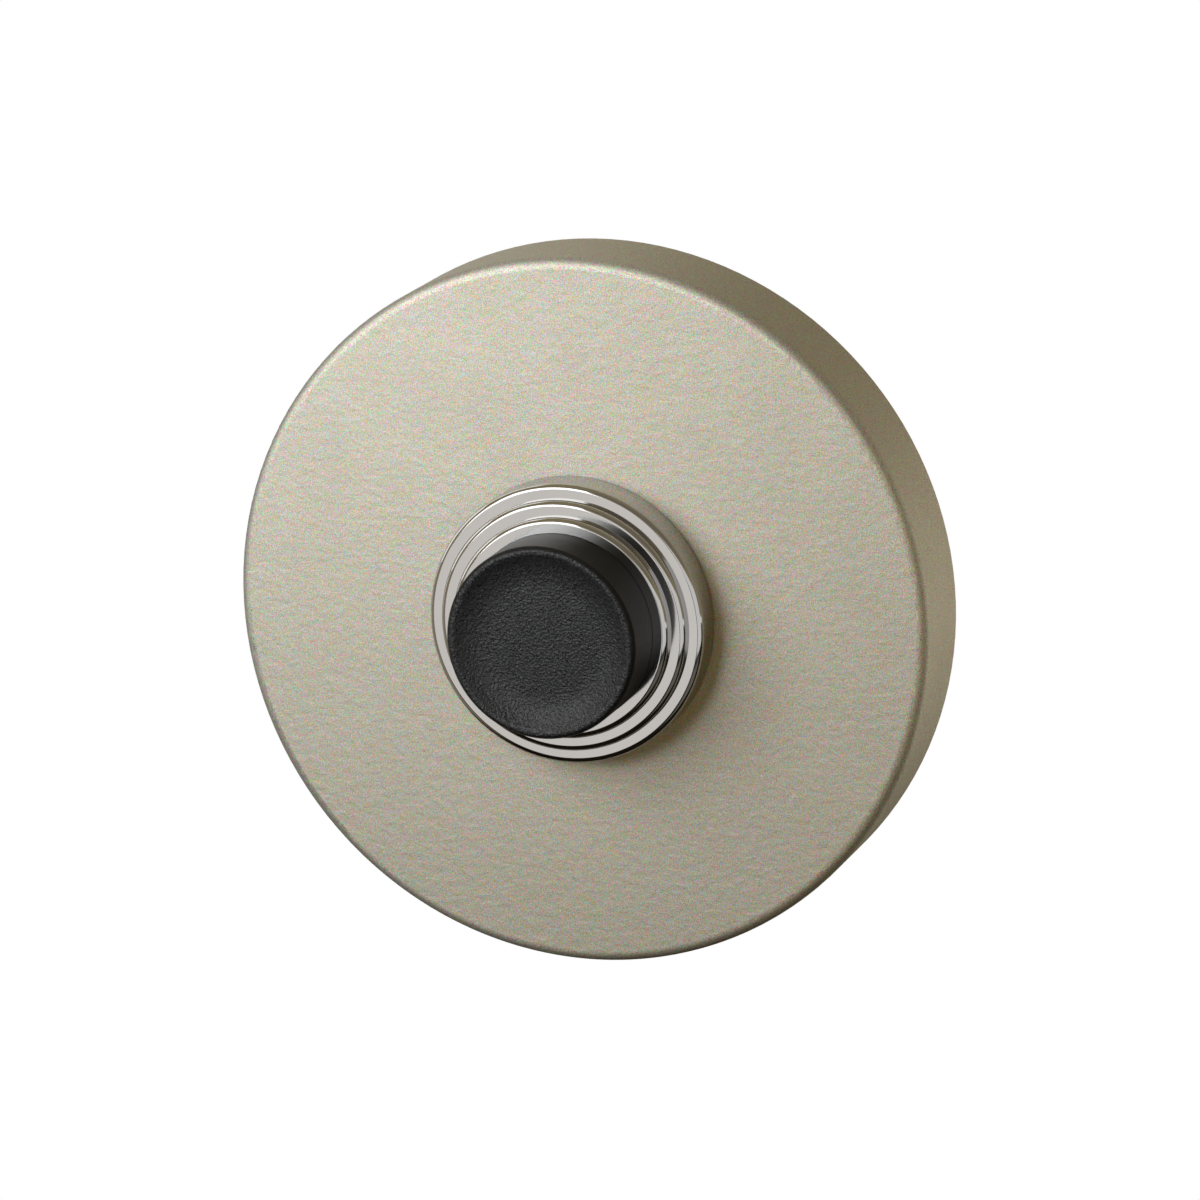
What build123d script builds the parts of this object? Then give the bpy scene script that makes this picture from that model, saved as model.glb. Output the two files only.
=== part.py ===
from build123d import *
from math import cos, degrees, radians, sqrt
import os

# Round doorbell push button for a wall or a door frame, in millimetres.
# The wall is the plane y = 0 and the front faces -Y. A height is a distance out from the wall,
# so it is negative inside the hole that is drilled for the switch.

# Rosette, the hollow cover that shows on the wall
rosette_dia = 50.0
rosette_depth = 7.3
rosette_edge_radius = 0.8
rosette_front_wall = 1.6
rosette_side_wall = 1.6
rosette_inner_radius = 0.6

# Bezel, a ring of steps that each stand higher than the one outside it, on a threaded shank
tier_count = 3
tier_width = 1.05
top_tier_width = 1.01
tier_rise = 0.65
tier_edge_radius = 0.42
first_tier_height = 2.64
bezel_hole_edge = 0.02
foot_overlap = 0.89
shank_wall = 1.0
shank_lip = 1.1
shank_end_chamfer = 0.6
guide_length = 6.6
seal_thickness = 0.1
seal_inset = 0.15

# Push button, a hollow cap with a flat floor sunk in its face, a stop flange and a stem
button_dia = 13.5
button_clearance = 0.03
button_rise = 4.04
button_rim_radius = 0.4
dish_depth = 0.86
dish_floor_dia = 7.7
button_crown = 1.6
button_wall = 1.2
button_travel = 2.0
flange_thickness = 1.2
stem_dia = 4.0
spigot_dia = 2.4
spigot_length = 2.5
rib_thickness = 1.0
rib_setback = 1.5
key_width = 2.2
key_depth = 0.4
key_clearance = 0.1
stop_gap = 0.05

# Switch, an insulating cup in the shank with two fixed contacts and a moving bar
carrier_clearance = 0.05
carrier_wall = 1.0
carrier_floor_depth = 5.6
carrier_web = 0.4
barrier_thickness = 1.2
barrier_height = 2.4
barrier_span = 9.0
strip_thickness = 0.5
strip_width = 3.0
strip_bend_radius = 0.6
strip_fit = 0.12
tip_head_dia = 1.8
tip_height = 0.5
tip_chamfer = 0.15
tip_shank_dia = 1.0
tip_fit = 0.02
bridge_end_gap = 0.75
bridge_end_margin = 1.3
bridge_width = 4.0
bridge_hole_fit = 0.08
blade_wall_gap = 0.27
blade_end_margin = 0.2
blade_tail_margin = 0.1

# Return spring, between the carrier's well and the moving bar
spring_blade_gap = 0.775
spring_wire_dia = 0.45
spring_wire_sides = 8
spring_turns = 4.5
spring_well_depth = 1.2
spring_well_fit = 0.25
spring_seat_gap = 0.02

# Terminals on the carrier's rear face
terminal_screw_dia = 2.5
terminal_screw_length = 2.7
terminal_hole_fit = 0.06
terminal_head_dia = 4.2
terminal_head_height = 1.5
terminal_slot_width = 0.6
terminal_slot_depth = 0.7
terminal_end_gap = 0.2
clamp_thickness = 0.6
clamp_width = 4.8
clamp_lip_gap = 0.1
clamp_barrier_gap = 0.8
clamp_ring_gap = 0.42

# Spring ring behind the carrier
ring_thickness = 0.8
ring_width = 1.15
ring_groove_depth = 0.45
ring_fit = 0.1
ring_side_gap = 0.05
ring_opening = 30.0
ring_gap_direction = 270.0
ring_ear_dia = 2.6
ring_ear_hole_dia = 1.2

# Nut and toothed washer behind the rosette's front wall
shank_hole_clearance = 0.1
washer_fit = 0.15
washer_thickness = 0.7
washer_rim = 1.4
washer_teeth = 14
washer_tooth_length = 0.95
washer_tooth_width = 1.3
nut_sides = 6
nut_thread_fit = 0.05
nut_wall = 2.0
nut_thickness = 2.6
nut_chamfer = 0.5

# Base plate, the moulded under-rosette that is screwed to the wall
base_clearance = 0.2
base_web = 1.4
base_pocket_depth = 1.2
base_rim_wall = 1.5
base_rim_height = 4.6
base_opening_clearance = 0.7
base_collar_wall = 1.5
base_collar_height = 3.0
base_rib_count = 8
base_rib_thickness = 1.0
screw_edge = 5.2
screw_hole_dia = 3.8
screw_head_dia = 7.0
screw_sink_angle = 90.0
screw_boss_wall = 0.8
screw_boss_height = 3.2
snap_count = 4
snap_arc = 24.0
snap_first_angle = 45.0
snap_slot_width = 1.0
snap_slot_depth = 2.6
snap_height = 3.5
snap_reach = 0.5
snap_tooth = 0.7
snap_groove_width = 1.1
snap_groove_depth = 0.5
snap_clearance = 0.1

# Radii that several pieces share, worked out from the button outwards
button_r = button_dia / 2
bezel_hole_r = button_r + button_clearance
tier_radii = [bezel_hole_r + top_tier_width + tier_width * step for step in reversed(range(tier_count))]
bezel_r = tier_radii[0]
shank_r = bezel_r - foot_overlap
shank_hole_r = shank_r + shank_hole_clearance
keyway_r = shank_r - shank_wall
key_r = keyway_r - key_clearance
counterbore_r = key_r - key_depth
carrier_r = counterbore_r - carrier_clearance
carrier_inner_r = carrier_r - carrier_wall
rosette_r = rosette_dia / 2
rosette_inner_r = rosette_r - rosette_side_wall
base_r = rosette_inner_r - base_clearance
nut_flat_r = shank_r + nut_wall
nut_corner_r = nut_flat_r / cos(radians(180 / nut_sides))
base_opening_r = nut_corner_r + base_opening_clearance
screw_r = base_r - screw_edge

# Places of the contacts and terminals, worked out from the carrier's wall and the spring ring inwards
bridge_half = carrier_inner_r - bridge_end_gap
tip_offset = bridge_half - bridge_end_margin
blade_reach = sqrt((carrier_inner_r - blade_wall_gap) ** 2 - (strip_width / 2) ** 2)
blade_inner_end = tip_offset - tip_head_dia / 2 - blade_end_margin
spring_mean_r = blade_inner_end - spring_blade_gap - spring_wire_dia / 2
ring_outer_r = counterbore_r + ring_groove_depth - ring_fit
ring_inner_r = ring_outer_r - ring_width
clamp_inner_end = barrier_thickness / 2 + clamp_barrier_gap
clamp_outer_end = sqrt((ring_inner_r - clamp_ring_gap) ** 2 - (clamp_width / 2) ** 2)
clamp_length = clamp_outer_end - clamp_inner_end
terminal_offset = (clamp_inner_end + clamp_outer_end) / 2
terminal_hole_r = terminal_screw_dia / 2 + terminal_hole_fit
terminal_hole_depth = terminal_screw_length - clamp_thickness - strip_thickness + terminal_end_gap

# Heights that several pieces share, from the rosette's front to the shank's end
rosette_front_back = rosette_depth - rosette_front_wall
bezel_foot = rosette_depth + seal_thickness
tier_tops = [rosette_depth + first_tier_height + tier_rise * step for step in range(tier_count)]
bezel_top = tier_tops[-1]
guide_shoulder = bezel_top - guide_length
flange_top = guide_shoulder - stop_gap
flange_bottom = flange_top - flange_thickness
carrier_rim = flange_bottom - button_travel - stop_gap
washer_back = rosette_front_back - washer_thickness
nut_back = washer_back - nut_thickness
carrier_floor = -carrier_floor_depth
carrier_floor_thickness = spring_well_depth + carrier_web + terminal_hole_depth
carrier_back = carrier_floor - carrier_floor_thickness
ring_groove_width = ring_thickness + 2 * ring_side_gap
shank_end = carrier_back - ring_groove_width - shank_lip
fixed_tip_top = carrier_floor + strip_thickness + tip_height
bridge_tip_end = fixed_tip_top + button_travel + stop_gap
bridge_back = bridge_tip_end + tip_height
bridge_front = bridge_back + strip_thickness
spring_well_floor = carrier_floor - spring_well_depth

# Sections are drawn with the radius along X and the height out from the wall along the sketch's own Y.
section = Plane(origin=(0, 0, 0), x_dir=(1, 0, 0), z_dir=(0, 0, -1))
sides = (("left", -1), ("right", 1))


def at_height(height):
    """Plane parallel to the wall and seen from the front, at a height out from it."""
    return Plane.XZ.offset(height)


os.makedirs("parts", exist_ok=True)

# Rosette: a turned cup with a groove inside its rim for the base plate's snap teeth
with BuildPart() as rosette:
    with BuildSketch(at_height(0)):
        Circle(rosette_r)
    extrude(amount=rosette_depth)
    fillet(rosette.edges().group_by(Axis.Y)[0], rosette_edge_radius)
    with BuildSketch(at_height(0)):
        Circle(rosette_inner_r)
    extrude(amount=rosette_front_back, mode=Mode.SUBTRACT)
    fillet(rosette.edges(Select.LAST).group_by(Axis.Y)[0], rosette_inner_radius)
    with BuildSketch(at_height(0)):
        Circle(shank_hole_r)
    extrude(amount=rosette_depth, mode=Mode.SUBTRACT)
    with BuildSketch(at_height(snap_height - snap_groove_width / 2)):
        Circle(rosette_inner_r + snap_groove_depth)
    extrude(amount=snap_groove_width, mode=Mode.SUBTRACT)
rosette.part.label = "rosette"
export_step(rosette.part, "parts/rosette.step")

# Bezel: each step is a disc with a rounded edge, and the shank behind them is bored from both ends
with BuildPart() as bezel:
    for tier_r, tier_top in zip(tier_radii, tier_tops):
        with BuildSketch(at_height(bezel_foot)):
            Circle(tier_r)
        extrude(amount=tier_top - bezel_foot)
        fillet(bezel.edges(Select.LAST).group_by(Axis.Y)[0], tier_edge_radius)
    with BuildSketch(at_height(bezel_foot)):
        Circle(shank_r)
    extrude(amount=shank_end - bezel_foot)
    chamfer(bezel.edges().group_by(Axis.Y)[-1], shank_end_chamfer)
    with BuildSketch(at_height(shank_end)):
        Circle(bezel_hole_r)
    extrude(amount=bezel_top - shank_end, mode=Mode.SUBTRACT)
    chamfer(bezel.edges(Select.LAST).group_by(Axis.Y)[0], bezel_hole_edge)
    with BuildSketch(at_height(shank_end)):
        Circle(counterbore_r)
        with PolarLocations(keyway_r / 2, 2, start_angle=90):
            Rectangle(keyway_r, key_width + 2 * key_clearance)
    extrude(amount=guide_shoulder - shank_end, mode=Mode.SUBTRACT)
    with BuildSketch(at_height(carrier_back)):
        Circle(counterbore_r + ring_groove_depth)
    extrude(amount=-ring_groove_width, mode=Mode.SUBTRACT)
bezel.part.label = "bezel"
export_step(bezel.part, "parts/bezel.step")

# Seal: a flat ring between the bezel's foot and the rosette
with BuildPart() as bezel_seal:
    with BuildSketch(at_height(rosette_depth)):
        Circle(bezel_r - seal_inset)
        Circle(shank_hole_r, mode=Mode.SUBTRACT)
    extrude(amount=seal_thickness)
bezel_seal.part.label = "bezel_seal"
export_step(bezel_seal.part, "parts/bezel_seal.step")

# Push button: one turned section from the sunk face to the spigot, with ribs inside and two keys.
# The face's flank is an arc that leaves the floor level and meets the rounded rim without a crease.
button_rim = bezel_top + button_rise
dish_bottom = button_rim - dish_depth
dish_floor_r = dish_floor_dia / 2
rim_centre_r = button_r - button_rim_radius
rim_centre = button_rim - button_rim_radius
flank_run = rim_centre_r - dish_floor_r
flank_radius = (flank_run**2 + (rim_centre - dish_bottom) ** 2 - button_rim_radius**2) / (2 * dish_depth)
rim_share = button_rim_radius / (flank_radius + button_rim_radius)
flank_end_r = rim_centre_r - flank_run * rim_share
flank_end = rim_centre + (dish_bottom + flank_radius - rim_centre) * rim_share
crown_back = dish_bottom - button_crown
skirt_r = button_r - button_wall
button_flange_r = counterbore_r - button_clearance
stem_r = stem_dia / 2
spigot_r = spigot_dia / 2
with BuildPart() as push_button:
    with BuildSketch(section):
        with BuildLine():
            floor_line = Line((0, dish_bottom), (dish_floor_r, dish_bottom))
            flank = TangentArc(floor_line @ 1, (flank_end_r, flank_end), tangent=floor_line % 1)
            TangentArc(flank @ 1, (button_r, rim_centre), tangent=flank % 1)
            Polyline(
                (button_r, rim_centre),
                (button_r, flange_top),
                (button_flange_r, flange_top),
                (button_flange_r, flange_bottom),
                (skirt_r, flange_bottom),
                (skirt_r, crown_back),
                (stem_r, crown_back),
                (stem_r, bridge_front),
                (spigot_r, bridge_front),
                (spigot_r, bridge_front - spigot_length),
                (0, bridge_front - spigot_length),
                (0, dish_bottom),
            )
        make_face()
    revolve(axis=Axis.Y)
    with BuildSketch(at_height(flange_bottom + rib_setback)):
        Rectangle(2 * skirt_r, rib_thickness)
        Rectangle(rib_thickness, 2 * skirt_r)
    extrude(amount=crown_back - flange_bottom - rib_setback)
    with BuildSketch(at_height(flange_bottom)):
        with PolarLocations((skirt_r + key_r) / 2, 2, start_angle=90):
            Rectangle(key_r - skirt_r, key_width)
        Circle(skirt_r, mode=Mode.SUBTRACT)
    extrude(amount=flange_thickness)
push_button.part.label = "push_button"
export_step(push_button.part, "parts/push_button.step")

# Carrier: a cup with a well for the spring, slots for the blades, screw holes and a barrier between them
spring_well_r = spring_mean_r + spring_wire_dia / 2 + spring_well_fit
with BuildPart() as contact_carrier:
    with BuildSketch(at_height(carrier_back)):
        Circle(carrier_r)
        with PolarLocations(key_r / 2, 2, start_angle=90):
            Rectangle(key_r, key_width)
    extrude(amount=carrier_rim - carrier_back)
    with BuildSketch(at_height(carrier_floor)):
        Circle(carrier_inner_r)
    extrude(amount=carrier_rim - carrier_floor, mode=Mode.SUBTRACT)
    with BuildSketch(at_height(spring_well_floor)):
        Circle(spring_well_r)
    extrude(amount=spring_well_depth, mode=Mode.SUBTRACT)
    with BuildSketch(at_height(carrier_back)):
        with PolarLocations(blade_reach - strip_thickness / 2, 2):
            Rectangle(strip_thickness + 2 * strip_fit, strip_width + 2 * strip_fit)
    extrude(amount=carrier_floor_thickness, mode=Mode.SUBTRACT)
    with BuildSketch(at_height(carrier_back)):
        with PolarLocations(terminal_offset, 2):
            Circle(terminal_hole_r)
    extrude(amount=terminal_hole_depth, mode=Mode.SUBTRACT)
    with BuildSketch(at_height(carrier_back)):
        Rectangle(barrier_thickness, barrier_span)
    extrude(amount=-barrier_height)
contact_carrier.part.label = "contact_carrier"
export_step(contact_carrier.part, "parts/contact_carrier.step")

# Spring ring: an open ring with an eared end on each side of its gap
ring_ear_r = ring_outer_r - ring_ear_dia / 2
ring_end_angle = ring_gap_direction - ring_opening / 2
with BuildPart() as retaining_ring:
    with BuildSketch(at_height(carrier_back - ring_side_gap)):
        Circle(ring_outer_r)
        Circle(ring_inner_r, mode=Mode.SUBTRACT)
        with BuildLine():
            gap_start = PolarLine((0, 0), 2 * ring_outer_r, ring_end_angle)
            gap_end = PolarLine((0, 0), 2 * ring_outer_r, ring_end_angle + ring_opening)
            Line(gap_start @ 1, gap_end @ 1)
        make_face(mode=Mode.SUBTRACT)
        with PolarLocations(ring_ear_r, 2, ring_end_angle, ring_opening, endpoint=True):
            Circle(ring_ear_dia / 2)
            Circle(ring_ear_hole_dia / 2, mode=Mode.SUBTRACT)
    extrude(amount=-ring_thickness)
retaining_ring.part.label = "retaining_ring"
export_step(retaining_ring.part, "parts/retaining_ring.step")

# Moving bar with its two contact rivets, carried on the stem's spigot
with BuildPart() as contact_bridge:
    with BuildSketch(at_height(bridge_back)):
        SlotOverall(2 * bridge_half, bridge_width)
        Circle(spigot_r + bridge_hole_fit, mode=Mode.SUBTRACT)
        with PolarLocations(tip_offset, 2):
            Circle(tip_shank_dia / 2 + tip_fit, mode=Mode.SUBTRACT)
    extrude(amount=strip_thickness)
contact_bridge.part.label = "contact_bridge"
export_step(contact_bridge.part, "parts/contact_bridge.step")

for side, sign in sides:
    with BuildPart() as bridge_tip:
        with BuildSketch(at_height(bridge_tip_end)):
            with Locations((sign * tip_offset, 0)):
                Circle(tip_head_dia / 2)
        extrude(amount=tip_height)
        chamfer(bridge_tip.edges().group_by(Axis.Y)[-1], tip_chamfer)
        with BuildSketch(at_height(bridge_back)):
            with Locations((sign * tip_offset, 0)):
                Circle(tip_shank_dia / 2)
        extrude(amount=strip_thickness)
    bridge_tip.part.label = f"bridge_tip_{side}"
    export_step(bridge_tip.part, f"parts/bridge_tip_{side}.step")

# Fixed contacts: a strip folded round the carrier's floor, a rivet on it, and the wire clamp behind
clamp_front = carrier_back - strip_thickness
clamp_back = clamp_front - clamp_thickness
clamp_lip_offset = (clamp_width - clamp_thickness) / 2
for side, sign in sides:
    with BuildPart() as contact_blade:
        with BuildSketch(section):
            with BuildLine():
                FilletPolyline(
                    (sign * blade_inner_end, carrier_floor + strip_thickness / 2),
                    (sign * (blade_reach - strip_thickness / 2), carrier_floor + strip_thickness / 2),
                    (sign * (blade_reach - strip_thickness / 2), carrier_back - strip_thickness / 2),
                    (sign * (clamp_inner_end - blade_tail_margin), carrier_back - strip_thickness / 2),
                    radius=strip_bend_radius - strip_thickness / 2,
                )
            trace(line_width=strip_thickness)
        extrude(amount=strip_width / 2, both=True)
        with BuildSketch(at_height(carrier_floor)):
            with Locations((sign * tip_offset, 0)):
                Circle(tip_shank_dia / 2 + tip_fit)
        extrude(amount=strip_thickness, mode=Mode.SUBTRACT)
        with BuildSketch(at_height(carrier_back)):
            with Locations((sign * terminal_offset, 0)):
                Circle(terminal_hole_r)
        extrude(amount=-strip_thickness, mode=Mode.SUBTRACT)
    contact_blade.part.label = f"contact_blade_{side}"
    export_step(contact_blade.part, f"parts/contact_blade_{side}.step")

    with BuildPart() as fixed_tip:
        with BuildSketch(at_height(fixed_tip_top)):
            with Locations((sign * tip_offset, 0)):
                Circle(tip_head_dia / 2)
        extrude(amount=-tip_height)
        chamfer(fixed_tip.edges().group_by(Axis.Y)[0], tip_chamfer)
        with BuildSketch(at_height(carrier_floor)):
            with Locations((sign * tip_offset, 0)):
                Circle(tip_shank_dia / 2)
        extrude(amount=strip_thickness)
    fixed_tip.part.label = f"fixed_tip_{side}"
    export_step(fixed_tip.part, f"parts/fixed_tip_{side}.step")

    with BuildPart() as terminal_clamp:
        with BuildSketch(at_height(clamp_front)):
            with Locations((sign * terminal_offset, 0)):
                Rectangle(clamp_length, clamp_width)
                Circle(terminal_hole_r, mode=Mode.SUBTRACT)
        extrude(amount=-clamp_thickness)
        with BuildSketch(at_height(clamp_front)):
            with Locations((sign * terminal_offset, 0)):
                with GridLocations(0, 2 * clamp_lip_offset, 1, 2):
                    Rectangle(clamp_length, clamp_thickness)
        extrude(amount=strip_thickness - clamp_lip_gap)
    terminal_clamp.part.label = f"terminal_clamp_{side}"
    export_step(terminal_clamp.part, f"parts/terminal_clamp_{side}.step")

# Terminal screws: two slotted cheese heads
with BuildPart() as terminal_screws:
    with BuildSketch(at_height(clamp_back)):
        with PolarLocations(terminal_offset, 2):
            Circle(terminal_head_dia / 2)
    extrude(amount=-terminal_head_height)
    with BuildSketch(at_height(clamp_back - terminal_head_height)):
        with PolarLocations(terminal_offset, 2):
            Rectangle(terminal_slot_width, 2 * terminal_head_dia)
    extrude(amount=terminal_slot_depth, mode=Mode.SUBTRACT)
    with BuildSketch(at_height(clamp_back)):
        with PolarLocations(terminal_offset, 2):
            Circle(terminal_screw_dia / 2)
    extrude(amount=terminal_screw_length)
terminal_screws.part.label = "terminal_screws"
export_step(terminal_screws.part, "parts/terminal_screws.step")

# Return spring: a plain coil from the well's floor to the bar, its wire drawn with flat sides
spring_length = bridge_back - spring_well_floor - spring_wire_dia - 2 * spring_seat_gap
with BuildPart() as return_spring:
    with BuildLine() as coil:
        Helix(
            pitch=spring_length / spring_turns,
            height=spring_length,
            radius=spring_mean_r,
            center=(0, -(spring_well_floor + spring_wire_dia / 2 + spring_seat_gap), 0),
            direction=(0, -1, 0),
        )
    with BuildSketch(Plane(origin=coil.line @ 0, z_dir=coil.line % 0)):
        RegularPolygon(spring_wire_dia / 2, spring_wire_sides)
    sweep(is_frenet=True)
return_spring.part.label = "return_spring"
export_step(return_spring.part, "parts/return_spring.step")

# Toothed washer: teeth that point in from a flat ring
tooth_tip_r = shank_r + washer_fit
washer_inner_r = tooth_tip_r + washer_tooth_length
tooth_length = washer_tooth_length + washer_rim / 2
with BuildPart() as lock_washer:
    with BuildSketch(at_height(washer_back)):
        Circle(washer_inner_r + washer_rim)
        Circle(washer_inner_r, mode=Mode.SUBTRACT)
        with PolarLocations(tooth_tip_r + tooth_length / 2, washer_teeth):
            Rectangle(tooth_length, washer_tooth_width)
    extrude(amount=washer_thickness)
lock_washer.part.label = "lock_washer"
export_step(lock_washer.part, "parts/lock_washer.step")

# Nut: a chamfered disc cut to flats for a spanner
with BuildPart() as fixing_nut:
    with BuildSketch(at_height(nut_back)):
        Circle(nut_corner_r)
    extrude(amount=nut_thickness)
    chamfer(fixing_nut.edges(), nut_chamfer)
    with BuildSketch(at_height(nut_back)):
        RegularPolygon(nut_flat_r, nut_sides, major_radius=False)
    extrude(amount=nut_thickness, mode=Mode.INTERSECT)
    with BuildSketch(at_height(nut_back)):
        Circle(shank_r + nut_thread_fit)
    extrude(amount=nut_thickness, mode=Mode.SUBTRACT)
fixing_nut.part.label = "fixing_nut"
export_step(fixing_nut.part, "parts/fixing_nut.step")

# Base plate: a disc with pockets between ribs on the wall side, screw bosses, and a rim cut into tongues
# that carry the snap teeth
collar_r = base_opening_r + base_collar_wall
rim_inner_r = base_r - base_rim_wall
screw_boss_r = screw_head_dia / 2 + screw_boss_wall
snap_angles = [snap_first_angle + 360 / snap_count * snap for snap in range(snap_count)]
snap_slot_angle = snap_arc / 2 + degrees(snap_slot_width / base_r)
with BuildPart() as base_plate:
    with BuildSketch(at_height(0)):
        Circle(base_r)
    extrude(amount=base_pocket_depth + base_web)
    with BuildSketch(at_height(0)):
        Circle(base_r)
        Circle(rim_inner_r, mode=Mode.SUBTRACT)
    extrude(amount=base_rim_height)
    with BuildSketch(at_height(0)):
        Circle(collar_r)
    extrude(amount=base_collar_height)
    with BuildSketch(at_height(0)):
        with PolarLocations(screw_r, 2, start_angle=90):
            Circle(screw_boss_r)
    extrude(amount=screw_boss_height)
    with BuildSketch(at_height(0)):
        Circle(rim_inner_r)
        Circle(collar_r, mode=Mode.SUBTRACT)
        with PolarLocations(rim_inner_r / 2, base_rib_count):
            Rectangle(rim_inner_r, base_rib_thickness, mode=Mode.SUBTRACT)
        with PolarLocations(screw_r, 2, start_angle=90):
            Circle(screw_boss_r, mode=Mode.SUBTRACT)
    extrude(amount=base_pocket_depth, mode=Mode.SUBTRACT)
    with BuildSketch(at_height(0)):
        Circle(base_opening_r)
    extrude(amount=base_collar_height + screw_boss_height, mode=Mode.SUBTRACT)
    with Locations(at_height(screw_boss_height)):
        with PolarLocations(screw_r, 2, start_angle=90):
            CounterSinkHole(
                radius=screw_hole_dia / 2,
                counter_sink_radius=screw_head_dia / 2,
                depth=screw_boss_height,
                counter_sink_angle=screw_sink_angle,
            )
    with BuildSketch(at_height(base_rim_height - snap_slot_depth)):
        for angle in snap_angles:
            for slot_angle in (angle - snap_slot_angle, angle + snap_slot_angle):
                with PolarLocations(base_r - base_rim_wall / 2, 1, start_angle=slot_angle):
                    Rectangle(2 * base_rim_wall, snap_slot_width)
    extrude(amount=snap_slot_depth, mode=Mode.SUBTRACT)
    for angle in snap_angles:
        with BuildSketch(section.rotated((0, angle - snap_arc / 2, 0))):
            with BuildLine():
                Polyline(
                    (base_r - base_rim_wall / 2, snap_height - snap_tooth / 2),
                    (base_r, snap_height - snap_tooth / 2),
                    (base_r + snap_reach - snap_clearance, snap_height - snap_tooth / 2),
                    (base_r, snap_height + snap_tooth / 2),
                    (base_r - base_rim_wall / 2, snap_height + snap_tooth / 2),
                    close=True,
                )
            make_face()
        revolve(axis=Axis.Y, revolution_arc=-snap_arc)
base_plate.part.label = "base_plate"
export_step(base_plate.part, "parts/base_plate.step")
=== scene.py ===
from math import asin, cos, pi, radians, sin

import bmesh
import bpy
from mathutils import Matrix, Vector


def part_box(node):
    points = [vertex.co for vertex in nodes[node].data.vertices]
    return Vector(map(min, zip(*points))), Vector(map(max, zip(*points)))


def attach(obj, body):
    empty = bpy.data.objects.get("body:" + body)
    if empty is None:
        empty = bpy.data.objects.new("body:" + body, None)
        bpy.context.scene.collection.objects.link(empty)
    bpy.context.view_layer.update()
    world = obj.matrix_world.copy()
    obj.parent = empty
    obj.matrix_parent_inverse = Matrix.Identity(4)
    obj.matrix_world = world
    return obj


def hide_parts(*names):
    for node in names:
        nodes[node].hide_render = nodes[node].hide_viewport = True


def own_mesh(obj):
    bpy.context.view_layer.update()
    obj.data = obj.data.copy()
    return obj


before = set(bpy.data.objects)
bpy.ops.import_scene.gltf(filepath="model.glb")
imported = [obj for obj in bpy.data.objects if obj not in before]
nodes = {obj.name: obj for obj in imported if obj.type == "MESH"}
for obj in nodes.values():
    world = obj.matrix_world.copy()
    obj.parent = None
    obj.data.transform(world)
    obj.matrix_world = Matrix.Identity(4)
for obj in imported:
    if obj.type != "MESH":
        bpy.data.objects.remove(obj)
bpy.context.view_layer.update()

# Bezel with its threaded shank. Its hole is drawn a hair closer to the button than the CAD model's, because the
# photo shows no gap there.
COLUMNS = 240
TIER_TOPS = (0.01124, 0.01059, 0.00994)
TIER_RADII = (0.00779, 0.00884, 0.00989)
TIER_EDGE = 0.00042
EDGE_STEPS = 12
SMOOTHING_MARGIN = 0.00002
SHARP_ANGLE = radians(40)
MERGE_DISTANCE = 1e-8
HOLE_RADIUS = 0.00676
HOLE_EDGE = 0.000005
FOOT_HEIGHT = 0.0074
SHANK_RADIUS = 0.009
SHANK_END = -0.011
SHANK_END_CHAMFER = 0.0006
THREAD_PITCH = 0.001
THREAD_DEPTH = 0.0006
THREAD_START = 0.0056
THREAD_ROWS = 12
THREAD_SWING = 0.6
COUNTERBORE_RADIUS = 0.0075
GUIDE_SHOULDER = 0.00464
KEYWAY_RADIUS = 0.008
KEYWAY_HALF_WIDTH = 0.0012
KEYWAY_TOLERANCE = 1.0001
RING_GROOVE_RADIUS = 0.00795
RING_GROOVE = (-0.0099, -0.009)
HAZE_SIZE = 0.004

# Return spring, drawn with a round wire
SPRING_RADIUS = 0.0023
SPRING_WIRE = 0.00045
SPRING_TURNS = 4.5
SPRING_STEPS = 36
SPRING_SIDES = 16

# Push button, whose grain and specks stop on its rounded rim, at these shares of the rim's radius; beyond them
# the rim's outer part is painted shade, kept as dark as the side
BUTTON_RADIUS = 0.00675
BUTTON_RIM = 0.0004
GRAIN_END_AND_PAINTED_SHADE_FULL = 0.1
GRAIN_FULL_AND_PAINTED_SHADE_END = 0.8
GRAIN_SIZE = 0.00018
GRAIN_DEPTH = 0.0001
SPECK_SIZE = 0.00006

# Rosette, whose rounded edge is smoother than its face
ROSETTE_RADIUS = 0.025
ROSETTE_DEPTH = 0.0073
ROSETTE_EDGE = 0.0008
SPECKLE_SIZE = 0.00006
SPECKLE_SPAN = (0.86, 1.03, 0.8)
SPECKLE_LOW = (0.07, 0.09, 0.028)
GREEN_AGAINST_RED = (0.0, -0.25, 0.0)
SATIN_SIZE = 0.004
LEATHER_SIZE = 0.0007
LEATHER_DEPTH = 0.00004
LEATHER_STRETCH = (1.0, 1.0, 1.35)

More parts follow.
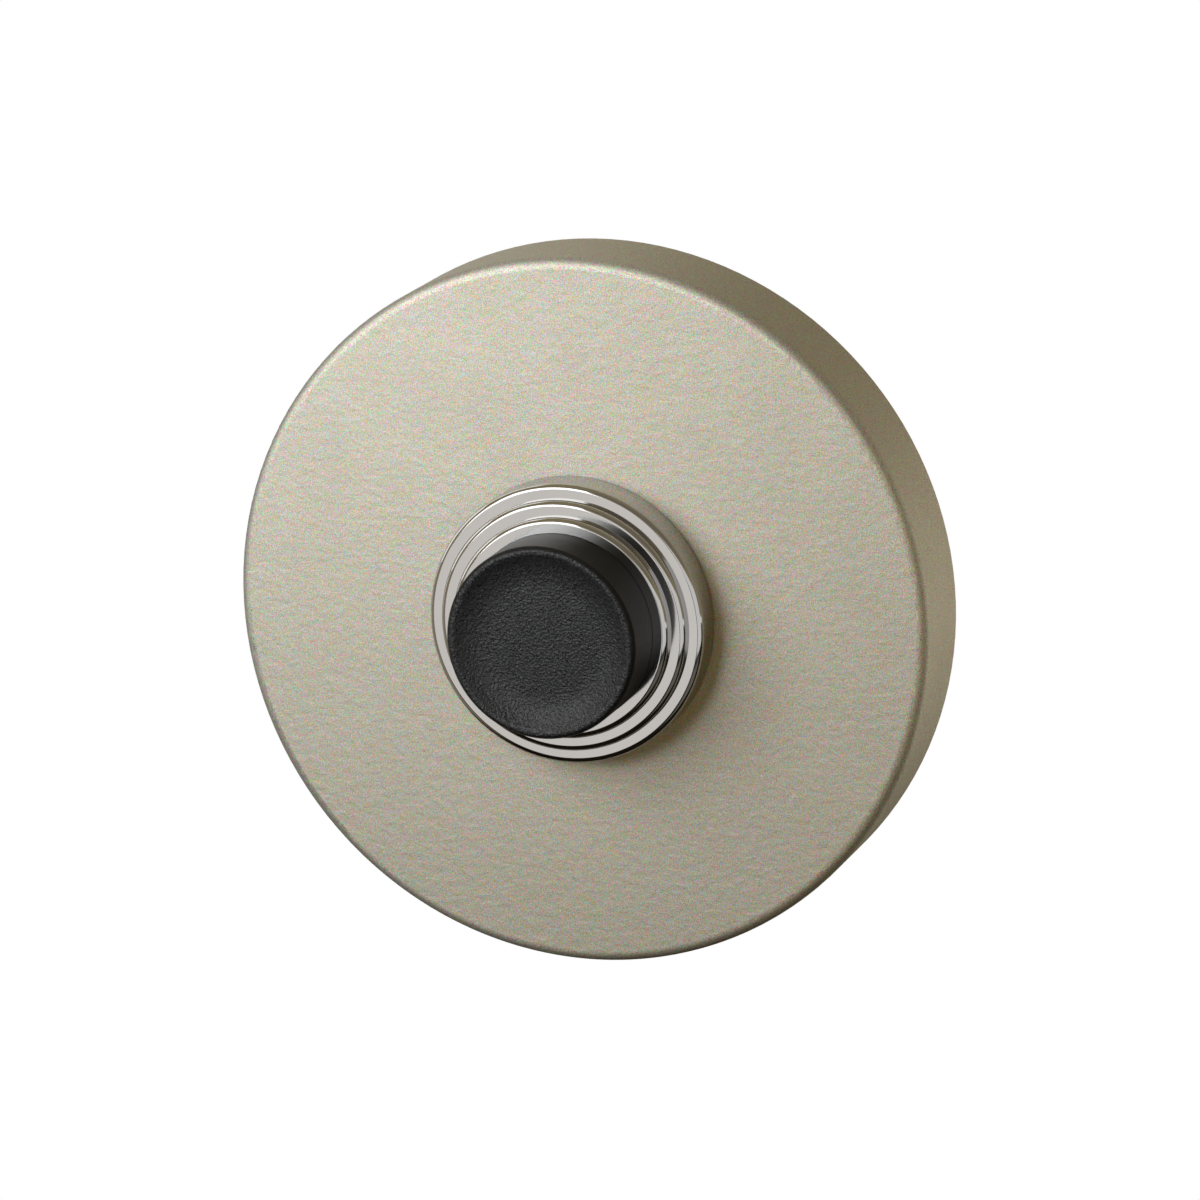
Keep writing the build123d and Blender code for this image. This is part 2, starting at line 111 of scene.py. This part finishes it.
# Plain finishes: two colours, metallic, two roughnesses, size of the patches and depth of the relief, which is
# finer than the patches
RELIEF_FINENESS = 6
FINISHES = {
    "seal_rubber": ((0.012, 0.012, 0.012), (0.03, 0.03, 0.03), 0.0, (0.6, 0.85), 0.0006, 1e-5),
    "carrier_plastic": ((0.07, 0.035, 0.018), (0.12, 0.065, 0.036), 0.0, (0.35, 0.55), 0.001, 1e-5),
    "spring_steel": ((0.38, 0.38, 0.39), (0.5, 0.5, 0.51), 1.0, (0.25, 0.4), 0.0005, 4e-6),
    "contact_brass": ((0.64, 0.43, 0.17), (0.76, 0.56, 0.27), 1.0, (0.2, 0.4), 0.0008, 4e-6),
    "contact_silver": ((0.76, 0.75, 0.72), (0.86, 0.85, 0.83), 1.0, (0.15, 0.3), 0.0004, 3e-6),
    "zinc_steel": ((0.52, 0.53, 0.55), (0.66, 0.67, 0.7), 1.0, (0.25, 0.45), 0.0008, 1.5e-6),
    "nut_brass": ((0.6, 0.57, 0.5), (0.7, 0.68, 0.62), 1.0, (0.2, 0.38), 0.0012, 6e-7),
    "base_nylon": ((0.035, 0.035, 0.037), (0.055, 0.055, 0.057), 0.0, (0.45, 0.65), 0.0008, 1.2e-5),
}


def new_piece(name, mesh_data, body, material):
    """Links a finished bmesh as a named piece that rides on a body."""
    bmesh.ops.recalc_face_normals(mesh_data, faces=mesh_data.faces)
    mesh = bpy.data.meshes.new(name)
    mesh_data.to_mesh(mesh)
    mesh_data.free()
    mesh.shade_smooth()
    mesh.set_sharp_from_angle(angle=SHARP_ANGLE)
    piece = bpy.data.objects.new(name, mesh)
    bpy.context.scene.collection.objects.link(piece)
    mesh.materials.append(material)
    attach(piece, body)
    return piece


def bridge(mesh_data, lower, upper):
    """Joins two closed rings of the same number of points with a band of faces."""
    for index in range(len(lower)):
        following = (index + 1) % len(lower)
        mesh_data.faces.new((lower[index], lower[following], upper[following], upper[index]))


def add_node(tree, kind, inputs=None, **settings):
    """Adds a shader node, sets its properties, and sets or links its inputs."""
    made = tree.nodes.new(kind)
    for name, value in settings.items():
        setattr(made, name, value)
    for name, value in (inputs or {}).items():
        if isinstance(value, bpy.types.NodeSocket):
            tree.links.new(value, made.inputs[name])
        else:
            made.inputs[name].default_value = value
    return made


def new_material(name):
    """An empty principled material, with its tree, shader and the frame's coordinates."""
    material = bpy.data.materials.new(name)
    material.use_nodes = True
    tree = material.node_tree
    shader = tree.nodes["Principled BSDF"]
    place = add_node(tree, "ShaderNodeTexCoord").outputs["Object"]
    return material, tree, shader, place


def noise(tree, place, size, detail=2.0, distortion=0.0):
    """Noise whose features are about as large as size."""
    inputs = {"Vector": place, "Scale": 1 / size, "Detail": detail, "Distortion": distortion}
    return add_node(tree, "ShaderNodeTexNoise", inputs)


def between(tree, value, low, high):
    """A 0 to 1 texture value spread from low to high."""
    inputs = {"Value": value, "To Min": low, "To Max": high}
    return add_node(tree, "ShaderNodeMapRange", inputs).outputs["Result"]


def mixed(tree, factor, first, second):
    """A colour between two others."""
    inputs = {"Factor": factor, 6: first, 7: second}
    return add_node(tree, "ShaderNodeMix", inputs, data_type="RGBA").outputs[2]


def bump(tree, shader, height, depth, strength=1.0):
    """Relief on a surface, depth metres high where height goes from 0 to 1."""
    inputs = {"Height": height, "Distance": depth, "Strength": strength}
    made = add_node(tree, "ShaderNodeBump", inputs)
    tree.links.new(made.outputs["Normal"], shader.inputs["Normal"])


def height_and_radius(tree, place):
    """Distance out from the wall and from the button's axis."""
    parts = add_node(tree, "ShaderNodeSeparateXYZ", {"Vector": place})
    height = add_node(tree, "ShaderNodeMath", {0: parts.outputs["Y"], 1: -1.0}, operation="MULTIPLY")
    inputs = {"X": parts.outputs["X"], "Z": parts.outputs["Z"]}
    flat = add_node(tree, "ShaderNodeCombineXYZ", inputs)
    radius = add_node(tree, "ShaderNodeVectorMath", {0: flat.outputs["Vector"]}, operation="LENGTH")
    return height.outputs["Value"], radius.outputs["Value"]


def rosette_material():
    """Satin champagne plating: a leathery relief, a fine coloured speckle and a smoother edge."""
    material, tree, shader, place = new_material("champagne_metal")
    speckle = noise(tree, place, SPECKLE_SIZE, 0.0)
    inputs = {0: speckle.outputs["Color"], 1: SPECKLE_SPAN, 2: SPECKLE_LOW}
    free = add_node(tree, "ShaderNodeVectorMath", inputs, operation="MULTIPLY_ADD")
    inputs = {0: speckle.outputs["Fac"], 1: GREEN_AGAINST_RED, 2: free.outputs["Vector"]}
    colour = add_node(tree, "ShaderNodeVectorMath", inputs, operation="MULTIPLY_ADD")
    tree.links.new(colour.outputs["Vector"], shader.inputs["Base Color"])
    shader.inputs["Metallic"].default_value = 1.0
    shader.inputs["Specular Tint"].default_value = (0.95, 0.88, 0.76, 1)
    height, radius = height_and_radius(tree, place)
    inputs = {
        "Value": radius,
        "From Min": ROSETTE_RADIUS - ROSETTE_EDGE,
        "From Max": ROSETTE_RADIUS - ROSETTE_EDGE / 2,
    }
    outer = add_node(tree, "ShaderNodeMapRange", inputs).outputs["Result"]
    inputs = {
        "Value": height,
        "From Min": ROSETTE_DEPTH - ROSETTE_EDGE,
        "From Max": ROSETTE_DEPTH - ROSETTE_EDGE / 2,
        "To Max": outer,
    }
    edge = add_node(tree, "ShaderNodeMapRange", inputs).outputs["Result"]
    patches = noise(tree, place, SATIN_SIZE, 3.0)
    satin = between(tree, patches.outputs["Fac"], 0.7, 0.78)
    tree.links.new(between(tree, edge, satin, 0.68), shader.inputs["Roughness"])
    inputs = {0: place, 1: LEATHER_STRETCH}
    stretched = add_node(tree, "ShaderNodeVectorMath", inputs, operation="MULTIPLY")
    leather = noise(tree, stretched.outputs["Vector"], LEATHER_SIZE, 1.0, 0.4)
    bump(tree, shader, leather.outputs["Fac"], LEATHER_DEPTH, between(tree, edge, 1.0, 0.2))
    return material


def chrome_material():
    """Mirror chrome with the faint unevenness of polishing."""
    material, tree, shader, place = new_material("polished_chrome")
    haze = noise(tree, place, HAZE_SIZE, 1.0)
    tone = mixed(tree, haze.outputs["Fac"], (0.54, 0.53, 0.52, 1), (0.58, 0.575, 0.565, 1))
    tree.links.new(tone, shader.inputs["Base Color"])
    shader.inputs["Metallic"].default_value = 1.0
    shader.inputs["Specular Tint"].default_value = (0.72, 0.72, 0.72, 1)
    tree.links.new(between(tree, haze.outputs["Fac"], 0.06, 0.1), shader.inputs["Roughness"])
    return material


def button_material():
    """Black moulded plastic: a leathery grain with fine specks on the face, a smooth dark side, and painted
    shade on the rim's outer part, as dark as the side.
    """
    material, tree, shader, place = new_material("button_black")
    _, radius = height_and_radius(tree, place)
    inputs = {
        "Value": radius,
        "From Min": BUTTON_RADIUS - GRAIN_END_AND_PAINTED_SHADE_FULL * BUTTON_RIM,
        "From Max": BUTTON_RADIUS - GRAIN_FULL_AND_PAINTED_SHADE_END * BUTTON_RIM,
    }
    masked = add_node(tree, "ShaderNodeMapRange", inputs, interpolation_type="SMOOTHSTEP")
    grain_against_painted_rim_shade = masked.outputs["Result"]
    grain = noise(tree, place, GRAIN_SIZE, 1.0, 0.3)
    inputs = {0: grain.outputs["Fac"], 1: grain_against_painted_rim_shade}
    raised = add_node(tree, "ShaderNodeMath", inputs, operation="MULTIPLY")
    bump(tree, shader, raised.outputs["Value"], GRAIN_DEPTH)
    specks = noise(tree, place, SPECK_SIZE, 0.0)
    # Painted shade: the specks fade out across the rim, so its outer part takes the side's near-black colour as
    # a dark outline.
    inputs = {"Value": specks.outputs["Fac"], "From Min": 0.46, "From Max": 0.62, "To Max": grain_against_painted_rim_shade}
    shade = add_node(tree, "ShaderNodeMapRange", inputs).outputs["Result"]
    tone = mixed(tree, shade, (0.003, 0.003, 0.003, 1), (0.031, 0.031, 0.031, 1))
    tree.links.new(tone, shader.inputs["Base Color"])
    tree.links.new(between(tree, grain_against_painted_rim_shade, 0.46, 0.5), shader.inputs["Roughness"])
    tree.links.new(between(tree, grain_against_painted_rim_shade, 0.25, 0.28), shader.inputs["Specular IOR Level"])
    return material


def plain_material(name, first, second, metallic, roughness, size, depth):
    """A finish with patches between two colours and two roughnesses, and a fine relief."""
    material, tree, shader, place = new_material(name)
    patches = noise(tree, place, size, 4.0)
    tone = mixed(tree, patches.outputs["Fac"], first + (1,), second + (1,))
    tree.links.new(tone, shader.inputs["Base Color"])
    shader.inputs["Metallic"].default_value = metallic
    tree.links.new(between(tree, patches.outputs["Fac"], *roughness), shader.inputs["Roughness"])
    fine = noise(tree, place, size / RELIEF_FINENESS, 3.0)
    bump(tree, shader, fine.outputs["Fac"], depth)
    return material


MATERIALS = {
    "champagne_metal": rosette_material(),
    "polished_chrome": chrome_material(),
    "button_black": button_material(),
}
for finish_name, finish in FINISHES.items():
    MATERIALS[finish_name] = plain_material(finish_name, *finish)

for node_object in nodes.values():
    slot_name = node_object.material_slots[0].material.name.split(".")[0]
    node_object.material_slots[0].material = MATERIALS[slot_name]


def bezel_columns():
    """Angles about the axis, with one at each edge of the two keyways."""
    edges = []
    for middle in (pi / 2, 3 * pi / 2):
        for radius in (COUNTERBORE_RADIUS, KEYWAY_RADIUS):
            half = asin(KEYWAY_HALF_WIDTH / radius)
            edges += [middle - half, middle + half]
    even = [2 * pi * column / COLUMNS for column in range(COLUMNS)]
    spare = pi / COLUMNS / 2
    return sorted([angle for angle in even if all(abs(angle - edge) > spare for edge in edges)] + edges)


def in_keyway(angle):
    """Whether a column lies in one of the keyways, at the top and bottom of the bore."""
    return abs(KEYWAY_RADIUS * cos(angle)) <= KEYWAY_HALF_WIDTH * KEYWAY_TOLERANCE


def bezel_front():
    """Radius and height along the tiers, from the edge of the hole to the foot's outer corner."""
    profile = [(HOLE_RADIUS, TIER_TOPS[0] - HOLE_EDGE), (HOLE_RADIUS + HOLE_EDGE, TIER_TOPS[0])]
    for tier_radius, tier_top, next_top in zip(TIER_RADII, TIER_TOPS, TIER_TOPS[1:] + (FOOT_HEIGHT,)):
        centre_r, centre_h = tier_radius - TIER_EDGE, tier_top - TIER_EDGE
        profile.append((centre_r - SMOOTHING_MARGIN, tier_top))
        for step in range(EDGE_STEPS + 1):
            turn = pi / 2 * step / EDGE_STEPS
            profile.append((centre_r + TIER_EDGE * sin(turn), centre_h + TIER_EDGE * cos(turn)))
        profile.append((tier_radius, centre_h - SMOOTHING_MARGIN))
        profile.append((tier_radius, next_top))
    return profile


def thread_radius(angle, height):
    """Radius of the shank's rolled thread, with a run-out below the foot and a chamfered end."""
    phase = 2 * pi * height / THREAD_PITCH + angle
    groove = min(1.0, max(0.0, 0.5 - THREAD_SWING * cos(phase)))
    fade = min(1.0, max(0.0, (THREAD_START - height) / THREAD_PITCH))
    chamfer = SHANK_RADIUS - SHANK_END_CHAMFER + height - SHANK_END
    return min(SHANK_RADIUS - THREAD_DEPTH * groove * fade, chamfer)


def make_bezel():
    """The stepped bezel in one closed skin, from the hole's edge over the steps, the thread and the bore."""
    columns = bezel_columns()
    data = bmesh.new()

    def ring(radius_at, height):
        return [
            data.verts.new((radius_at(angle) * cos(angle), -height, radius_at(angle) * sin(angle)))
            for angle in columns
        ]

    def round_ring(radius, height):
        return ring(lambda angle: radius, height)

    def keyed_ring(radius, height):
        return ring(lambda angle: KEYWAY_RADIUS if in_keyway(angle) else radius, height)

    rings = [round_ring(radius, height) for radius, height in bezel_front()]
    rings.append(round_ring(SHANK_RADIUS, FOOT_HEIGHT))
    row_count = round((THREAD_START - SHANK_END) / THREAD_PITCH * THREAD_ROWS)
    for row in range(row_count + 1):
        height = THREAD_START + (SHANK_END - THREAD_START) * row / row_count
        rings.append(ring(lambda angle: thread_radius(angle, height), height))
    rings.append(keyed_ring(COUNTERBORE_RADIUS, SHANK_END))
    rings.append(keyed_ring(COUNTERBORE_RADIUS, RING_GROOVE[0]))
    rings.append(keyed_ring(RING_GROOVE_RADIUS, RING_GROOVE[0]))
    rings.append(keyed_ring(RING_GROOVE_RADIUS, RING_GROOVE[1]))
    rings.append(keyed_ring(COUNTERBORE_RADIUS, RING_GROOVE[1]))
    rings.append(keyed_ring(COUNTERBORE_RADIUS, GUIDE_SHOULDER))
    rings.append(round_ring(HOLE_RADIUS, GUIDE_SHOULDER))
    for lower, upper in zip(rings, rings[1:] + rings[:1]):
        bridge(data, lower, upper)
    bmesh.ops.remove_doubles(data, verts=data.verts, dist=MERGE_DISTANCE)
    piece = new_piece("threaded_bezel", data, "housing", MATERIALS["polished_chrome"])
    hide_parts("bezel")
    return piece


def make_spring():
    """The return spring with a round wire, on a mesh of its own."""
    low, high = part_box("return_spring")
    start, end = high.y - SPRING_WIRE / 2, low.y + SPRING_WIRE / 2
    steps = round(SPRING_TURNS * SPRING_STEPS)
    climb = (end - start) / (SPRING_TURNS * 2 * pi)
    data = bmesh.new()
    rings = []
    for step in range(steps + 1):
        angle = SPRING_TURNS * 2 * pi * step / steps
        outward = Vector((cos(angle), 0, sin(angle)))
        tangent = Vector((-SPRING_RADIUS * sin(angle), climb, SPRING_RADIUS * cos(angle))).normalized()
        across = tangent.cross(outward)
        middle = outward * SPRING_RADIUS + Vector((0, start + climb * angle, 0))
        rings.append(
            [
                data.verts.new(middle + SPRING_WIRE / 2 * (cos(side) * outward + sin(side) * across))
                for side in (2 * pi * index / SPRING_SIDES for index in range(SPRING_SIDES))
            ]
        )
    for lower, upper in zip(rings, rings[1:]):
        bridge(data, lower, upper)
    data.faces.new(rings[0])
    data.faces.new(rings[-1])
    piece = new_piece("coil_spring", data, "housing", MATERIALS["spring_steel"])
    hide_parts("return_spring")
    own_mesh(piece)


threaded_bezel = make_bezel()
make_spring()

# Camera at the photo's angle
CAMERA_AZIMUTH = radians(18.595)
CAMERA_ELEVATION = radians(14.741)
CAMERA_DISTANCE = 0.42565
CAMERA_TARGET = Vector((-0.000807, 0, -0.000793))
CAMERA_LENS = 182.31

camera_back = Vector(
    (
        sin(CAMERA_AZIMUTH) * cos(CAMERA_ELEVATION),
        -cos(CAMERA_AZIMUTH) * cos(CAMERA_ELEVATION),
        sin(CAMERA_ELEVATION),
    )
)
camera = bpy.data.objects.new("camera", bpy.data.cameras.new("camera"))
bpy.context.scene.collection.objects.link(camera)
camera.location = CAMERA_TARGET + CAMERA_DISTANCE * camera_back
camera.rotation_euler = (-camera_back).to_track_quat("-Z", "Y").to_euler()
camera.data.lens = CAMERA_LENS
camera.data.clip_start = 0.01
bpy.context.scene.camera = camera

# Stage: a pale floor, a dark card over it, bright panels for the chrome to mirror, and lamps for the rest.
# A panel has a place, a size, a colour and a strength; a lamp has a place, a size, a colour and a power.
FLOOR_HEIGHT = -0.3
FLOOR_SIZE = (8.0, 8.0)
CARD_PLACE = (0.75, -0.25, -0.28)
CARD_SIZE = (2.5, 4.5)
PANELS = (
    ("front", (-0.26, -0.75, -0.1), (0.45, 0.45), (1.0, 0.97, 0.94), 0.93),
    ("glint", (-0.176, -0.34, 0.1), (0.2, 0.2), (1.0, 1.0, 1.0), 3.0),
    ("left", (-0.75, 0.35, 0.12), (1.4, 0.8), (1.0, 1.0, 1.0), 1.4),
    ("top", (-0.5, 0.25, 0.55), (0.6, 0.5), (1.0, 1.0, 1.0), 1.2),
    ("band", (0.42, -0.55, -0.05), (0.9, 0.42), (1.0, 1.0, 1.0), 0.85),
    ("flag", (0.35, -0.6, 0.6), (1.2, 0.7), (1.0, 0.88, 0.68), 0.2),
    ("low", (0.19, -0.26, -0.24), (0.35, 0.17), (1.0, 0.92, 0.8), 0.17),
    ("dim", (0.6, 0.48, -0.24), (1.0, 0.7), (1.0, 0.9, 0.75), 0.15),
    ("warm", (-0.34, -0.14, -0.16), (0.42, 0.38), (1.0, 0.85, 0.62), 0.3),
)
LAMPS = (
    ("key", (-0.051, -0.1004, 0.0453), 0.085, (0.965, 0.992, 1.0), 0.186),
    ("fill", (0.22, -0.55, -0.1), 0.6, (1.0, 0.76, 0.36), 1.13),
    ("right", (0.5, 0.4, -0.2), 0.63, (1.0, 0.94, 0.8), 2.7),
    ("rear", (-0.4, 0.6, 0.5), 0.45, (1.0, 0.95, 0.83), 1.35),
    ("back", (0.3, 0.6, 0.35), 0.5, (1.0, 1.0, 1.0), 4.0),
)
WORLD_COLOUR = (1, 0.84, 0.52, 1)
WORLD_STRENGTH = 0.3


def panel(name, place, size, facing, shader_for):
    """A flat rectangle of the stage, with the surface that shader_for makes in its material's tree."""
    data = bmesh.new()
    bmesh.ops.create_grid(data, x_segments=1, y_segments=1, size=0.5)
    bmesh.ops.scale(data, verts=data.verts, vec=size + (1,))
    mesh = bpy.data.meshes.new(name)
    data.to_mesh(mesh)
    data.free()
    made = bpy.data.objects.new(name, mesh)
    bpy.context.scene.collection.objects.link(made)
    made.location = place
    made.rotation_euler = Vector(facing).to_track_quat("Z", "Y").to_euler()
    material = bpy.data.materials.new(name)
    material.use_nodes = True
    tree = material.node_tree
    tree.links.new(shader_for(tree), tree.nodes["Material Output"].inputs["Surface"])
    mesh.materials.append(material)
    return made


def light_only(source, *pieces):
    """Keeps a lamp's or a bright panel's light to some pieces."""
    lit = bpy.data.collections.new(source.name)
    for piece in pieces:
        lit.objects.link(piece)
    source.light_linking.receiver_collection = lit


def floor_shader(tree):
    """Pale, but white to the camera, in reflections and through glass."""
    pale = tree.nodes["Principled BSDF"]
    pale.inputs["Base Color"].default_value = (0.8, 0.8, 0.8, 1)
    path = add_node(tree, "ShaderNodeLightPath").outputs
    seen = path["Is Camera Ray"]
    for ray in ("Is Glossy Ray", "Is Transmission Ray"):
        seen = add_node(tree, "ShaderNodeMath", {0: seen, 1: path[ray]}, operation="MAXIMUM").outputs["Value"]
    white = add_node(tree, "ShaderNodeEmission", {"Color": (1, 1, 1, 1), "Strength": 1.0})
    inputs = {0: seen, 1: pale.outputs["BSDF"], 2: white.outputs["Emission"]}
    return add_node(tree, "ShaderNodeMixShader", inputs).outputs["Shader"]


def card_shader(tree):
    """A matt dark card."""
    dark = tree.nodes["Principled BSDF"]
    dark.inputs["Base Color"].default_value = (0.05, 0.045, 0.04, 1)
    dark.inputs["Roughness"].default_value = 0.9
    return dark.outputs["BSDF"]


def glow_shader(colour, strength):
    """Makes the shader of an even bright panel."""

    def shader_for(tree):
        inputs = {"Color": colour + (1,), "Strength": strength}
        return add_node(tree, "ShaderNodeEmission", inputs).outputs["Emission"]

    return shader_for


def soft_lamp(name, place, size, colour, power):
    """A square lamp that shines on the origin."""
    light = bpy.data.lights.new(name, "AREA")
    light.size = size
    light.color = colour
    light.energy = power
    lamp = bpy.data.objects.new(name, light)
    bpy.context.scene.collection.objects.link(lamp)
    lamp.location = place
    lamp.rotation_euler = (-Vector(place)).to_track_quat("-Z", "Y").to_euler()
    lamp.visible_camera = False
    return lamp


panel("floor", (0, 0, FLOOR_HEIGHT), FLOOR_SIZE, (0, 0, 1), floor_shader)
panel("card", CARD_PLACE, CARD_SIZE, (0, 0, 1), card_shader).visible_camera = False
for panel_name, place, size, colour, strength in PANELS:
    bright = panel(panel_name, place, size, -Vector(place), glow_shader(colour, strength))
    bright.visible_camera = False
    if panel_name == "band":
        light_only(bright, threaded_bezel, nodes["push_button"])
    else:
        light_only(bright, threaded_bezel)

shown_nodes = ("rosette", "push_button")
replaced_nodes = ("bezel", "return_spring")
lit_by = {
    "key": [nodes[name] for name in shown_nodes],
    "back": [node for name, node in nodes.items() if name not in shown_nodes + replaced_nodes],
}
for lamp_name, *settings in LAMPS:
    light_only(soft_lamp(lamp_name, *settings), *lit_by.get(lamp_name, [nodes["rosette"]]))

world = bpy.data.worlds.new("studio")
world.use_nodes = True
world_tree = world.node_tree
soft = world_tree.nodes["Background"]
soft.inputs["Color"].default_value = WORLD_COLOUR
soft.inputs["Strength"].default_value = WORLD_STRENGTH
backdrop = add_node(world_tree, "ShaderNodeBackground", {"Color": (1, 1, 1, 1), "Strength": 1.0})
seen = add_node(world_tree, "ShaderNodeLightPath").outputs["Is Camera Ray"]
inputs = {0: seen, 1: soft.outputs["Background"], 2: backdrop.outputs["Background"]}
shown = add_node(world_tree, "ShaderNodeMixShader", inputs)
world_tree.links.new(shown.outputs["Shader"], world_tree.nodes["World Output"].inputs["Surface"])
bpy.context.scene.world = world
bpy.context.scene.view_settings.view_transform = "Standard"
